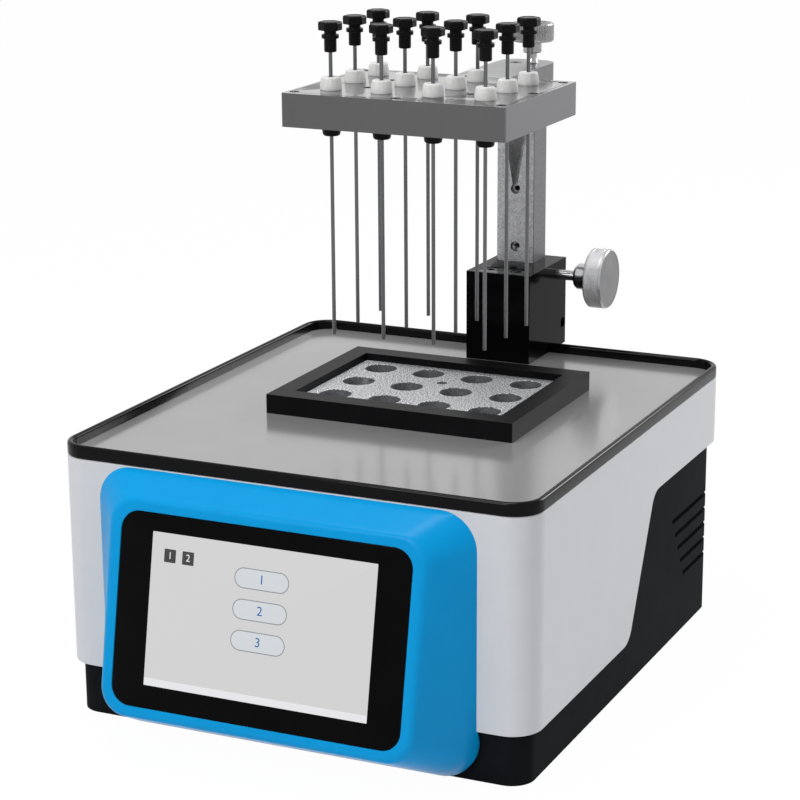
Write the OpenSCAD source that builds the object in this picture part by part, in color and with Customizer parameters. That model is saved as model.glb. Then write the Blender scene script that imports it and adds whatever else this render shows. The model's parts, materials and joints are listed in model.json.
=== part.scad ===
// Twelve-place nitrogen sample evaporator: a heated block under a gas manifold on a sliding post.
// Millimetres, +Z up, front towards -Y, origin under the middle of the bounding box.
// Side to side and front to back positions are measured from the middle of the housing.

/* [Housing] */
// Width of the painted shell
body_w = 258.8; // [220:0.1:320]
// Depth of the painted shell
body_d = 292.2; // [260:0.1:360]
// Radius of the shell's upright corners
corner_r = 16; // [8:1:24]
// Height of the steel plate above the bench
plate_z = 143.5; // [120:0.5:180]
// Thickness of the steel plate
plate_t = 1.5; // [1:0.1:2.5]
// Wall of the painted shell
shell_wall = 3.5; // [2.5:0.1:4.5]
// Wall of the black base
base_wall = 2.5; // [2:0.1:4]
// Gap between the base and the shell around it
nest_gap = 0.5; // [0.3:0.05:0.7]
// Lower edge of the shell at the front, above the bench
shell_bottom = 31.1; // [20:0.1:45]
// Lower edge of the shell's rear band, above the bench
band_bottom = 104.3; // [90:0.1:115]
// Front to back place of the step in the shell's side, at the band
step_y = 30.2; // [0:0.1:80]
// Slope of that step, in degrees
step_angle = 63.7; // [45:0.1:90]
// Radius of the step's two corners
step_r = 12; // [4:1:20]
// Lower edge of the base above the bench
base_bottom = 4; // [3:0.5:10]
// Height of the rubber feet
foot_h = 4.5; // [3.5:0.5:12]
// Diameter of the rubber feet
foot_d = 18; // [12:1:28]
// Width of the black bead along the plate's edge
trim_w = 3.3; // [2.5:0.1:5]
// Height of the bead above the plate
trim_h = 5.4; // [3:0.1:8]
// Height of a vent slot
vent_h = 2.6; // [1.5:0.1:4]
// Distance between vent slots
vent_pitch = 9; // [6:0.1:12]
// Front to back place where the top slot starts
vent_y = 73; // [60:0.5:90]
// How much further back each lower slot starts
vent_step = 5.2; // [0:0.1:8]

/* [Display] */
// Width of the bezel where it meets the shell
bezel_w = 205.7; // [180:0.1:230]
// Height of the bezel where it meets the shell
bezel_h = 136; // [120:0.5:140]
// Corner radius where the bezel meets the shell
bezel_r = 19; // [10:1:30]
// Width of the bezel's front face
face_w = 169; // [150:0.5:190]
// Height of the bezel's front face along its slope
face_h = 108.6; // [95:0.1:120]
// Corner radius of the front face
face_r = 14; // [8:1:20]
// Lean of the front face from upright, in degrees
face_tilt = 11.1; // [0:0.1:20]
// How far the lower edge of the front face stands out from the shell
bezel_reach = 38.1; // [25:0.1:50]
// How far the lower edge of the front face lies below the steel plate
face_drop = 118.4; // [110:0.1:125]
// Gap between the bezel's upper edge and the steel plate
bezel_gap = 2.2; // [1:0.1:6]
// Sideways place of the display's middle
bezel_x = -1.3; // [-10:0.1:10]
// Width of the touch glass
glass_w = 157.3; // [140:0.1:165]
// Height of the touch glass
glass_h = 97.4; // [85:0.1:105]
// Width of the picture area
lcd_w = 121.6; // [100:0.1:140]
// Height of the picture area
lcd_h = 76.7; // [60:0.1:90]
// Corner radius of the touch glass
glass_r = 10; // [4:0.5:14]

/* [Heating block] */
// Number of places from side to side
cols = 4; // [2:1:6]
// Number of places from front to back
rows = 3; // [2:1:4]
// Distance between places
pitch = 29; // [24:0.5:36]
// Sideways place of the grid's middle
grid_x = 4.1; // [-10:0.1:10]
// Front to back place of the grid's middle
grid_y = 19.2; // [0:0.1:40]
// Diameter of the wells
well_d = 17.7; // [12:0.1:22]
// Depth of the wells
well_depth = 38; // [25:1:42]
// From the outer wells' middles to the sides of the block
block_side = 15.75; // [12:0.05:22]
// From the outer wells' middles to the front and rear of the block
block_end = 14.7; // [12:0.1:22]
// Height of the heating block
block_h = 45; // [35:1:60]
// How far the block's top stands above the plate
block_rise = 6.5; // [2:0.5:10]
// Width of the frame's side bars
frame_side = 11.1; // [8:0.1:16]
// Width of the frame's front and rear bars
frame_end = 12.1; // [9:0.1:16]
// Height of the frame above the plate
frame_h = 10.4; // [6:0.1:16]

/* [Manifold] */
// From the outer needles to the sides of the manifold
head_side = 19.05; // [15:0.05:25]
// From the outer needles to the front and rear of the manifold
head_end = 20.15; // [16:0.05:26]
// Height of the manifold body under its cover
head_h = 13.5; // [10:0.5:20]
// Thickness of the manifold's cover
cover_t = 4.1; // [3:0.1:6]
// Underside of the manifold above the steel plate
head_z = 152.5; // [140:0.5:200]
// Length of a needle below its cap
needle_len = 150; // [120:1:180]
// Outer diameter of a needle
needle_d = 2; // [1.2:0.05:3]
// Bore of a needle
needle_bore = 1.4; // [0.6:0.05:2]
// Gap between a needle's cap and its collar
needle_gap = 12.8; // [2:0.1:20]
// Height of a needle's cap
cap_h = 15.7; // [12:0.1:22]
// Height of the white collars
collar_h = 6.7; // [5:0.1:10]
// Height of the gland nuts under the manifold
gland_h = 6.3; // [3:0.1:10]

/* [Post and clamp] */
// Width of the post
post_w = 23; // [18:0.5:28]
// Depth of the post
post_d = 19; // [15:0.5:24]
// Sideways place of the post
post_x = 1; // [-10:0.1:10]
// Gap between the shell's rear and the post
post_gap = 0.3; // [0.2:0.1:5]
// How far the post hangs below the steel plate
post_drop = 30; // [10:1:60]
// Width of the block that holds the post
column_w = 39; // [34:0.5:50]
// Height of the block that holds the post
column_h = 51.4; // [40:0.1:80]
// How far that block stands out behind the shell
column_over = 23.4; // [22:0.1:35]
// Depth of that block
column_d = 57.8; // [50:0.1:80]
// Diameter of the clamp knob
knob_d = 34.4; // [25:0.1:45]
// Thickness of the clamp knob
knob_t = 10.8; // [6:0.1:16]
// Diameter of the arm's thumbscrew
thumb_d = 24.5; // [16:0.5:32]
// Thickness of the arm's thumbscrew
thumb_t = 10.3; // [6:0.1:14]
// Width of the arm
arm_w = 32.3; // [24:0.1:40]
// Height of the post's lower hole above the steel plate
post_hole_z = 60.2; // [50:0.1:75]
// Distance between the post's two holes
post_hole_gap = 33.9; // [20:0.1:50]

/* [Fits] */
// Radial running clearance of round moving parts
run_gap = 0.06; // [0.03:0.01:0.1]
// Sliding clearance of the post on each side
slide_gap = 0.1; // [0.05:0.01:0.15]
// Clearance around loose pieces
loose_gap = 0.3; // [0.2:0.05:0.5]
// Clearance around the glass and the picture panel
seat_gap = 0.1; // [0.05:0.05:0.3]

/* [Hidden] */
$fn = 48;
eps = 0.01;
knurl_depth = 0.5;
slice = 0.2;                                // thickness of a slice that a hull joins
half_w = body_w / 2;
half_d = body_d / 2;
face_bevel = 1.4;                           // bevel round the display's face
face_wall = 8;                              // solid face of the bezel
side_wall = 4;                              // its walls at the face
glass_seat = 2;                             // depth of the glass's seat
glass_t = 1.8;
panel_rim = 3;                              // picture panel outside the picture
panel_t = 6;
base_in = shell_wall + nest_gap;            // base's outside from the shell's outside
shell_top = plate_z - plate_t;
cover_top = foot_h + 2;                     // upper side of the bottom cover
plate_in = 1;                               // plate's edge from the shell's outside
inside_w = half_w - base_in - base_wall;    // from the middle to the base's inner walls
inside_d = half_d - base_in - base_wall;
grid_w = (cols - 1) * pitch;
grid_d = (rows - 1) * pitch;
block_w = grid_w + 2 * block_side;
block_d = grid_d + 2 * block_end;
hole_w = block_w + 2 * loose_gap;           // opening that the block passes through
hole_d = block_d + 2 * loose_gap;
frame_w = hole_w + 2 * frame_side;
frame_d = hole_d + 2 * frame_end;
head_w = grid_w + 2 * head_side;
head_d = grid_d + 2 * head_end;
frame_x = grid_x + 0.25;                    // the frame's middle
frame_y = grid_y - 1.15;
block_top = plate_z + block_rise;
block_bottom = block_top - block_h;
head_bottom = plate_z + head_z;
head_top = head_bottom + head_h + cover_t;
head_x = grid_x + 0.45;
head_y = grid_y - 0.2;
head_wall = 10.5;                           // walls of the manifold body
floor_t = 4.5;                              // floor of the manifold body
cap_bottom = head_top + collar_h + needle_gap;
tip_z = cap_bottom - needle_len;
arm_top = head_bottom + head_h;
post_y = half_d + post_gap + post_d / 2;
arm_y0 = head_y + head_d / 2;
arm_y1 = post_y + post_d / 2 + 3;
arm_x = post_x + 1.05;
column_x = post_x + 3.5;
column_y1 = half_d + column_over;
column_y0 = column_y1 - column_d;
clamp_y = post_y - 0.9;
clamp_z = plate_z + 44;
front_y = half_d + bezel_reach - face_bevel * sin(face_tilt);
body_y = (front_y - clamp_y - knob_d / 2) / 2;   // housing's middle from the box's middle
thumb_at = [post_x + 5.6, post_y + 0.5, 0];
arm_screw_at = [post_x - 3.4, post_y - 2.7, 0];
face_y = -half_d - bezel_reach;             // lower edge of the display's face
face_z = plate_z - face_drop;
bezel_z = plate_z - bezel_gap - bezel_h / 2;
inlet_x = -inside_w + 50.9;
inlet_z = 62;
inlet_y = half_d - base_in;
cable_w = 60;                               // opening in the housing behind the display
cable_h = 40;

// ---- shared shapes ----

// a rounded rectangle, middle at the origin
module plate_2d(w, d, r) {
    square([w - 2 * r, d], center = true);
    square([w, d - 2 * r], center = true);
    for (sx = [-1, 1], sy = [-1, 1])
        translate([sx * (w / 2 - r), sy * (d / 2 - r)])
            circle(r);
}

// the housing's outline drawn in from the shell's outside
module outline_2d(inset) {
    plate_2d(body_w - 2 * inset, body_d - 2 * inset, corner_r - inset);
}

// a box from its two corners
module box(a, b) {
    translate(a)
        cube(b - a);
}

// puts a piece measured from the housing's middle into place
module placed() {
    translate([0, body_y, 0])
        children();
}

// repeats a piece at every place of the grid
module at_grid() {
    for (i = [0 : cols * rows - 1])
        translate(grid_at(i))
            children();
}

function grid_at(i) = [
    grid_x - grid_w / 2 + (i % cols) * pitch,
    grid_y - grid_d / 2 + floor(i / cols) * pitch,
    0];

// carries a piece drawn flat onto the sloping face of the display:
// x to the right, y up the slope, z out of the face
module on_face() {
    translate([bezel_x, face_y, face_z])
        rotate([90 - face_tilt, 0, 0])
            children();
}

// runs a section round the top of the housing; its x goes inwards, its y up
module edge_run() {
    for (s = [-1, 1]) {
        translate([s * half_w, half_d - corner_r, 0])
            rotate([90, 0, 0])
                linear_extrude(body_d - 2 * corner_r)
                    scale([-s, 1])
                        children();
        translate([half_w - corner_r, s * half_d, 0])
            rotate([90, 0, -90])
                linear_extrude(body_w - 2 * corner_r)
                    scale([s, 1])
                        children();
    }
    for (a = [0 : 90 : 270])
        rotate(a)
            corner_at(a)
                rotate_extrude(angle = 90)
                    translate([corner_r, 0])
                        scale([-1, 1])
                            children();
}

// moves to an upright corner's centre in the turned frame
module corner_at(a) {
    across = (a % 180 == 0) ? half_w : half_d;
    along = (a % 180 == 0) ? half_d : half_w;
    translate([across - corner_r, along - corner_r, 0])
        children();
}

// a socket-head screw, top of the head at the origin, shank downwards
module socket_screw(head_d, head_h, shank_d, len, key) {
    difference() {
        translate([0, 0, -head_h])
            cylinder(d = head_d, h = head_h);
        translate([0, 0, -head_h * 0.6])
            cylinder(d = key / cos(30), h = head_h, $fn = 6);
    }
    translate([0, 0, -len])
        cylinder(d = shank_d, h = len - head_h);
}

// a straight-knurled wheel, flat on z = 0, with a plain step at each end
module knurled(d, t, teeth, edge) {
    r = d / 2;
    cylinder(r = r - edge, h = edge);
    translate([0, 0, edge])
        linear_extrude(t - 2 * edge)
            polygon([for (i = [0 : 2 * teeth - 1])
                let(a = 180 * i / teeth, q = (i % 2 == 0) ? r : r - knurl_depth)
                    [q * cos(a), q * sin(a)]]);
    translate([0, 0, t - edge])
        cylinder(r = r - edge, h = edge);
}

// ---- housing ----

// points of an arc about a centre, from one angle to another
function arc(centre, r, from, to) = [for (i = [0 : 12])
    let(a = from + (to - from) * i / 12)
        centre + r * [cos(a), sin(a)]];

// the part of the shell that is cut away above the base's side: a sloping step
// whose two corners are rounded with arcs that meet its lines
module shell_cut() {
    t = step_r * tan(step_angle / 2);
    low_y = step_y - (band_bottom - shell_bottom) / tan(step_angle);
    rotate([90, 0, 90])
        linear_extrude(body_w + 2, center = true)
            polygon(concat(
                [[half_d + 1, shell_bottom - 1], [half_d + 1, band_bottom]],
                arc([step_y + t, band_bottom - step_r], step_r, 90, 90 + step_angle),
                arc([low_y - t, shell_bottom + step_r], step_r, step_angle - 90, -90),
                [[low_y - t, shell_bottom - 1]]));
}

// painted shell: full depth at the front, a band along the rear
module upper_shell() {
    color("#b9bcc3") placed() difference() {
        translate([0, 0, shell_bottom])
            linear_extrude(shell_top - shell_bottom)
                outline_2d(0);
        translate([0, 0, shell_bottom - 1])
            linear_extrude(shell_top - shell_bottom + 2)
                outline_2d(shell_wall);
        shell_cut();
        cable_opening();
    }
}

// opening behind the display for its cables, through the shell and the base
module cable_opening() {
    deep = base_in + base_wall + 1;
    translate([bezel_x - cable_w / 2, -half_d - 1, bezel_z - cable_h / 2])
        cube([cable_w, deep + 1, cable_h]);
}

vent_z = plate_z - 70.1;                    // middle of the top slot
vent_wrap = 24;                             // how far the slots run round the rear corners

// five slots round each rear corner, each one starting further back
module vents() {
    for (s = [-1, 1], i = [0 : 4]) {
        z = vent_z - i * vent_pitch - vent_h / 2;
        y = vent_y + i * vent_step;
        x0 = inside_w - 1;
        x1 = half_w - vent_wrap;
        box([min(s * x0, s * (half_w + 1)), y, z],
            [max(s * x0, s * (half_w + 1)), half_d + 1, z + vent_h]);
        box([min(s * x1, s * (half_w + 1)), inside_d - 1, z],
            [max(s * x1, s * (half_w + 1)), half_d + 1, z + vent_h]);
    }
}

// black base, open at the bottom and top
module base_housing() {
    ledge = 4;
    color("#17181a") placed() difference() {
        translate([0, 0, base_bottom])
            linear_extrude(shell_top - base_bottom)
                outline_2d(base_in);
        translate([0, 0, base_bottom - 1])
            linear_extrude(cover_top - base_bottom + 1)
                outline_2d(base_in + base_wall);
        translate([0, 0, base_bottom - 1])
            linear_extrude(shell_top + 2)
                outline_2d(base_in + base_wall + ledge);
        translate([0, 0, cover_top + 3])
            linear_extrude(shell_top)
                outline_2d(base_in + base_wall);
        vents();
        cable_opening();
        translate([inlet_x, inlet_y - base_wall - 1, inlet_z])
            inlet_block(inlet_w + 2 * loose_gap, inlet_h + 2 * loose_gap, base_wall + 2);
        at_cover_screws()
            cylinder(d = 3, h = 12);
    }
}

// the six screws of the bottom cover
module at_cover_screws() {
    in = base_in + base_wall + 2.1;
    for (sx = [-1, 1], sy = [-1, 0, 1])
        translate([sx * (half_w - in), sy * (half_d - in - 18), 0])
            children();
}

module bottom_cover() {
    color("#2a2b2d") placed() difference() {
        translate([0, 0, foot_h])
            linear_extrude(cover_top - foot_h)
                outline_2d(base_in + base_wall + loose_gap);
        at_cover_screws()
            cylinder(d = 3, h = 12);
    }
}

module cover_screws() {
    color("#8d9095") placed() at_cover_screws() {
        translate([0, 0, foot_h - 1.6])
            difference() {
                cylinder(d = 3.8, h = 1.6);
                translate([-2, -0.4, -eps])
                    cube([4, 0.8, 0.8]);
            }
        translate([0, 0, foot_h])
            cylinder(d = 3, h = 4.5);
    }
}

module rubber_feet() {
    color("#202020") placed()
        for (sx = [-1, 1], sy = [-1, 1])
            translate([sx * (half_w - 26), sy * (half_d - 26), 0])
                cylinder(d1 = foot_d - 2, d2 = foot_d, h = foot_h);
}

// steel plate with the opening for the heating block
module steel_top_plate() {
    color("#a9abad") placed() difference() {
        translate([0, 0, shell_top])
            linear_extrude(plate_t)
                outline_2d(plate_in);
        translate([frame_x, frame_y, shell_top - 1])
            linear_extrude(plate_t + 2)
                square([hole_w, hole_d], center = true);
        at_frame_screws()
            translate([0, 0, shell_top - 1])
                cylinder(d = 3, h = 4);
        at_column_screws()
            translate([0, 0, shell_top - 1])
                cylinder(d = 5, h = 4);
    }
}

// glossy bead round the plate's edge, open where the post's block stands
module edge_trim() {
    top = plate_z + trim_h;
    r = trim_w / 2;
    color("#0c0c0d") placed() difference() {
        edge_run()
            union() {
                translate([0, plate_z])
                    square([trim_w, trim_h - r]);
                translate([r, top - r])
                    circle(r, $fn = 24);
                translate([0, shell_top])
                    square([plate_in - loose_gap, plate_t + eps]);
            }
        box([column_x - column_w / 2 - loose_gap, half_d - 12, plate_z],
            [column_x + column_w / 2 + loose_gap, half_d + 1, top + 1]);
    }
}

// ---- display ----

// one thin slice of the bezel's outside, drawn in by a wall and set back from the face
module face_slice(back, inset) {
    on_face()
        translate([0, face_h / 2, -back - slice])
            linear_extrude(slice)
                plate_2d(face_w - 2 * inset, face_h - 2 * inset, face_r - inset);
}

// the bezel's outside, drafted from the shell to the face, or its hollow
module bezel_solid(wall) {
    hull() {
        translate([bezel_x, -half_d, bezel_z])
            rotate([90, 0, 0])
                linear_extrude(slice)
                    plate_2d(bezel_w - 2 * wall, bezel_h - 2 * wall, bezel_r - wall);
        face_slice(wall + 1.6, wall);
        face_slice(wall, wall + face_bevel);
    }
}

// blue bezel: drafted sides, leaning face, hollow behind
module display_bezel() {
    color("#1296db") placed() difference() {
        union() {
            bezel_solid(0);
            // reaches back to the base below the shell
            translate([bezel_x, -half_d + base_in, bezel_z])
                rotate([90, 0, 0])
                    linear_extrude(base_in + slice / 2)
                        intersection() {
                            plate_2d(bezel_w, bezel_h, bezel_r);
                            translate([-bezel_w / 2, -bezel_h / 2])
                                square([bezel_w, shell_bottom - loose_gap - bezel_z + bezel_h / 2]);
                        }
        }
        bezel_hollow();
        // seat of the glass
        on_face()
            translate([0, face_h / 2, -glass_seat])
                linear_extrude(glass_seat + 1)
                    plate_2d(glass_w + 2 * seat_gap, glass_h + 2 * seat_gap, glass_r + seat_gap);
        // opening for the picture panel
        on_face()
            translate([0, face_h / 2, -face_wall - 4])
                linear_extrude(face_wall + 4)
                    square([lcd_w + 2 * (panel_rim + seat_gap), lcd_h + 2 * (panel_rim + seat_gap)],
                        center = true);
    }
}

hollow_deep = 52;                           // reaches past the shell's outside

// space behind the face, square to it
module bezel_hollow() {
    on_face()
        translate([0, face_h / 2, -face_wall - hollow_deep])
            linear_extrude(hollow_deep)
                square([face_w - 2 * side_wall, face_h - 2 * side_wall], center = true);
}

module touch_glass() {
    color("#0b0b0d") placed() on_face()
        translate([0, face_h / 2, -glass_seat])
            linear_extrude(glass_t)
                plate_2d(glass_w, glass_h, glass_r);
}

// picture panel behind the glass
module lcd_panel() {
    color("#d6d6d6") placed() on_face()
        translate([0, face_h / 2, -glass_seat - panel_t])
            linear_extrude(panel_t)
                square([lcd_w + 2 * panel_rim, lcd_h + 2 * panel_rim], center = true);
}

// ---- heating ----

module at_frame_screws() {
    for (sx = [-1, 1], sy = [-1, 1])
        translate([frame_x + sx * (frame_w - frame_side) / 2,
            frame_y + sy * (frame_d - frame_end) / 2, 0])
            children();
}

// black frame on the plate, round the heating block
module block_frame() {
    color("#1b1b1d") placed() difference() {
        translate([frame_x, frame_y, plate_z])
            linear_extrude(frame_h)
                square([frame_w, frame_d], center = true);
        translate([frame_x, frame_y, plate_z - 1])
            linear_extrude(frame_h + 2)
                square([hole_w, hole_d], center = true);
        at_frame_screws()
            translate([0, 0, plate_z - 1])
                cylinder(d = 3, h = 8);
    }
}

// screws up into the frame from under the plate
module frame_screws() {
    color("#8d9095") placed() at_frame_screws()
        translate([0, 0, shell_top])
            rotate([180, 0, 0])
                translate([0, 0, 2])
                    socket_screw(5.5, 2, 3, 10, 2);
}

probe_d = 6;
probe_at = [grid_x, grid_y + pitch / 2, 0];

// aluminium block with the wells and a thermometer hole
module heating_block() {
    color("#b5b7ba") placed() difference() {
        translate([frame_x, frame_y, block_bottom])
            linear_extrude(block_h)
                square([block_w, block_d], center = true);
        at_grid()
            translate([0, 0, block_top - well_depth])
                cylinder(d = well_d, h = well_depth + 1);
        translate(probe_at + [0, 0, block_top - 30])
            cylinder(d = probe_d, h = 31);
    }
}

heater_h = 10;                              // thickness of the heater plate
heater_d = 6.5;
heater_len = 80;
sensor_d = 4;
tray_wall = 8;                              // insulation round the block
sensor_in = 29;                             // depth of the sensor in the plate
heater_x = block_w / 2 - sensor_in - 1 - heater_d / 2 - 2;

// aluminium plate under the block, with bores for its two heaters
module heater_plate() {
    color("#9fa1a4") placed() difference() {
        translate([frame_x, frame_y, block_bottom - heater_h])
            linear_extrude(heater_h)
                square([block_w, block_d], center = true);
        at_heaters()
            cylinder(d = heater_d, h = heater_len + 2);
        at_sensor()
            translate([0, 0, -1])
                cylinder(d = sensor_d, h = sensor_in + 2);
    }
}

module at_heaters() {
    for (s = [-1, 1])
        translate([frame_x + s * heater_x, frame_y - block_d / 2, block_bottom - heater_h / 2])
            rotate([-90, 0, 0])
                translate([0, 0, -1])
                    children();
}

// tip of the sensor inside the plate, pointing out to the right
module at_sensor() {
    translate([frame_x + block_w / 2 - sensor_in, frame_y, block_bottom - heater_h / 2])
        rotate([0, 90, 0])
            children();
}

module cartridge_heaters() {
    color("#8a8c8f") placed() at_heaters()
        translate([0, 0, -1])
            cylinder(d = heater_d, h = heater_len);
}

module temperature_probe() {
    color("#c9cbcd") placed()
        at_sensor() {
            cylinder(d = sensor_d, h = sensor_in + 1.5);
            translate([0, 0, sensor_in])
                cylinder(d = sensor_d - 1, h = tray_wall);
        }
}

// insulation round the block and its heater
module insulation_tray() {
    top = shell_top;
    bottom = block_bottom - heater_h - tray_wall;
    color("#d8d2c0") placed() difference() {
        translate([frame_x, frame_y, bottom])
            linear_extrude(top - bottom)
                square([block_w + 2 * tray_wall, block_d + 2 * tray_wall], center = true);
        translate([frame_x, frame_y, bottom + tray_wall])
            linear_extrude(top)
                square([hole_w, hole_d], center = true);
        at_frame_screws()
            translate([0, 0, top - 3])
                cylinder(d = 7, h = 10);
        // heater and probe leads leave through these
        at_heaters()
            translate([0, 0, -tray_wall - 4])
                cylinder(d = heater_d + 2.5, h = tray_wall + 6);
        at_sensor()
            translate([0, 0, sensor_in - 1])
                cylinder(d = sensor_d + 1, h = tray_wall + 3);
    }
}

// ---- electronics ----

// board on four posts, with its relay and terminal blocks
board = [90, 70, 1.6];
board_gap = 3;                              // from the base's right wall
board_y = 39.5;                             // from the base's front wall
board_leg = 8;                              // height of its legs
board_in = 6;                               // from the board's edges to the legs' middles

module control_board() {
    top = board_leg + board[2] - eps;
    color("#1f6b3c") placed()
        translate([inside_w - board_gap - board[0], -inside_d + board_y, cover_top]) {
            for (x = [board_in, board[0] - board_in], y = [board_in, board[1] - board_in])
                translate([x, y, 0])
                    cylinder(d = 6, h = board_leg);
            translate([0, 0, board_leg])
                cube(board);
            translate([8, 20, top])
                cube([19, 15, 15]);
            translate([36, 55, top])
                cube([40, 9, 10]);
            translate([40, 18, top])
                cube([22, 22, 3]);
        }
}

supply = [99, 97, 30];
supply_gap = 23;                            // from the base's left wall
supply_y = 69.5;                            // from the base's front wall
supply_step = [2, 12, 12];                  // walls beside the ledge, its depth and its height

// power supply in its case, with the ledge of its terminals cut into the front
module power_supply() {
    color("#9a9c9f") placed()
        translate([-inside_w + supply_gap, -inside_d + supply_y, cover_top])
            difference() {
                cube(supply);
                translate([supply_step[0], -1, supply_step[2]])
                    cube([supply[0] - 2 * supply_step[0], supply_step[1] + 1, supply[2]]);
            }
}

inlet_w = 46;                               // body of the mains inlet behind its flange
inlet_h = 27;
inlet_deep = 24;

// a block centred side to side and in height, reaching back from its front
module inlet_block(w, h, deep) {
    translate([-w / 2, 0, -h / 2])
        cube([w, deep, h]);
}

// mains inlet with its switch frame
module power_inlet() {
    color("#141414") placed() difference() {
        union() {
            translate([inlet_x, inlet_y, inlet_z])
                inlet_block(inlet_w + 4, inlet_h + 4, 2.2);
            translate([inlet_x, inlet_y - inlet_deep, inlet_z])
                inlet_block(inlet_w, inlet_h, inlet_deep + eps);
        }
        // recess for the plug
        box([inlet_x - 21.5, inlet_y - 14, inlet_z - 8.3], [inlet_x + 3, inlet_y + 5, inlet_z + 8.3]);
        // recess for the rocker and the holes of its pins
        translate(rocker_at)
            rotate([0, 90, 0])
                cylinder(d = 2 + 2 * run_gap, h = 16.6, center = true);
        box([inlet_x + 7, inlet_y - 8, inlet_z - 10], [inlet_x + 20, inlet_y + 5, inlet_z + 10]);
    }
}

module inlet_pins() {
    color("#c8b37a") placed()
        for (p = [[-7, 2.5], [7, 2.5], [0, -3.5]])
            box([inlet_x - 9.25 + p[0] - 1, inlet_y - 14, inlet_z + p[1] - 2.2],
                [inlet_x - 9.25 + p[0] + 1, inlet_y - 3, inlet_z + p[1] + 2.2]);
}

rocker_tilt = 9;
rocker_at = [inlet_x + 13.5, inlet_y - 2, inlet_z];

// rocker, tilted to off; it turns on the level pins at its sides
module power_rocker() {
    color("#0f0f10") placed()
        translate(rocker_at)
            rotate([rocker_tilt, 0, 0])
                rotate([0, 90, 0]) {
                    linear_extrude(12.4, center = true)
                        polygon([[-8.8, -1.6], [-8.8, 3.2], [0, 2.2], [8.8, 3.2], [8.8, -1.6], [0, -3.6]]);
                    cylinder(d = 2, h = 16, center = true);
                }
}

// ---- post and clamp ----

module at_column_screws() {
    for (s = [-1, 1])
        translate([column_x + s * (column_w / 2 - 11.1), column_y0 + 10.3, 0])
            children();
}

// gloss black block: stands on the plate and over the rear edge
module column_block() {
    color("#0e0e0f") placed() difference() {
        box([column_x - column_w / 2, column_y0, plate_z],
            [column_x + column_w / 2, column_y1, plate_z + column_h]);
        box([post_x - post_w / 2 - slide_gap, post_y - post_d / 2 - slide_gap, plate_z - 1],
            [post_x + post_w / 2 + slide_gap, post_y + post_d / 2 + slide_gap, plate_z + column_h + 1]);
        // thread of the clamp screw
        translate([post_x, clamp_y, clamp_z])
            rotate([0, 90, 0])
                cylinder(d = clamp_screw_d + 2 * run_gap, h = column_w);
        at_column_screws() {
            translate([0, 0, plate_z - 1])
                cylinder(d = 5, h = column_h + 2);
            translate([0, 0, plate_z + column_h - 5])
                cylinder(d = 8.5, h = 6);
        }
        // tapped hole low on the right side
        translate([column_x + column_w / 2 - 8, column_y1 - 4.4, plate_z + 13])
            rotate([0, 90, 0])
                cylinder(d = 6, h = 9);
    }
}

module column_screws() {
    color("#3a3b3d") placed() at_column_screws()
        translate([0, 0, plate_z + column_h - 0.3])
            socket_screw(8.5, 4.7, 5, column_h + 2.8, 4);
}

clamp_screw_d = 6;
clamp_reach = 11.8;                         // from the column's side to the knob's boss
clamp_boss = 9.9;                           // length of that boss
clamp_boss_d = 15.3;

// clamp knob with its screw; it presses on the post's right side
module clamp_knob() {
    tip_x = post_x + post_w / 2 + slide_gap;
    boss_x = column_x + column_w / 2 + clamp_reach;
    drum_x = boss_x + clamp_boss;
    color("#c3c5c7") placed()
        translate([0, clamp_y, clamp_z])
            rotate([0, 90, 0]) {
                translate([0, 0, tip_x])
                    cylinder(d = clamp_screw_d, h = boss_x - tip_x);
                translate([0, 0, boss_x])
                    cylinder(d1 = clamp_boss_d - 2.8, d2 = clamp_boss_d, h = 2);
                translate([0, 0, boss_x + 2])
                    cylinder(d = clamp_boss_d, h = drum_x - boss_x - 2);
                translate([0, 0, drum_x])
                    knurled(knob_d, knob_t, 60, 0.8);
            }
}

// square post with two counterbored holes in its front
module post() {
    bottom = plate_z - post_drop;
    top = head_bottom;
    color("#a7a9ac") placed() difference() {
        translate([post_x, post_y, bottom])
            linear_extrude(top - bottom)
                offset(delta = 0.8, chamfer = true)
                    square([post_w - 1.6, post_d - 1.6], center = true);
        for (z = [post_hole_z, post_hole_z + post_hole_gap])
            translate([post_x, post_y - post_d / 2, plate_z + z])
                rotate([-90, 0, 0]) {
                    translate([0, 0, -1])
                        cylinder(d = 3.2, h = 15);
                    translate([0, 0, -1])
                        cylinder(d = 6, h = 4);
                }
        translate(thumb_at + [0, 0, top - 13])
            cylinder(d = thumb_screw_d + 2 * run_gap, h = 14);
        translate(arm_screw_at + [0, 0, top - 12])
            cylinder(d = 4, h = 13);
    }
}

module arm() {
    r = 10;
    color("#a7a9ac") placed() difference() {
        translate([0, 0, head_bottom])
            linear_extrude(head_h)
                union() {
                    translate([arm_x - arm_w / 2, arm_y0])
                        square([arm_w, arm_y1 - arm_y0 - r]);
                    translate([arm_x - arm_w / 2 + r, arm_y1 - 2 * r])
                        square([arm_w - 2 * r, 2 * r]);
                    for (s = [-1, 1])
                        translate([arm_x + s * (arm_w / 2 - r), arm_y1 - r])
                            circle(r);
                }
        translate(thumb_at + [0, 0, head_bottom - 1])
            cylinder(d = thumb_screw_d + 2 * run_gap, h = head_h + 2);
        translate(arm_screw_at + [0, 0, head_bottom - 1])
            cylinder(d = 4, h = head_h + 2);
        translate(arm_screw_at + [0, 0, arm_top - 3.5])
            cylinder(d = 7, h = 4);
        at_arm_bolts()
            cylinder(d = 4, h = 20);
    }
}

// one screw down into the post, and two from the manifold into the arm
module arm_screws() {
    color("#3a3b3d") placed() {
        translate(arm_screw_at + [0, 0, arm_top])
            socket_screw(7, 3.5, 4, head_h + 11, 3);
        at_arm_bolts()
            translate([0, 0, -3])
                rotate([180, 0, 0])
                    socket_screw(6.5, 3, 4, 22, 3);
    }
}

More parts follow.
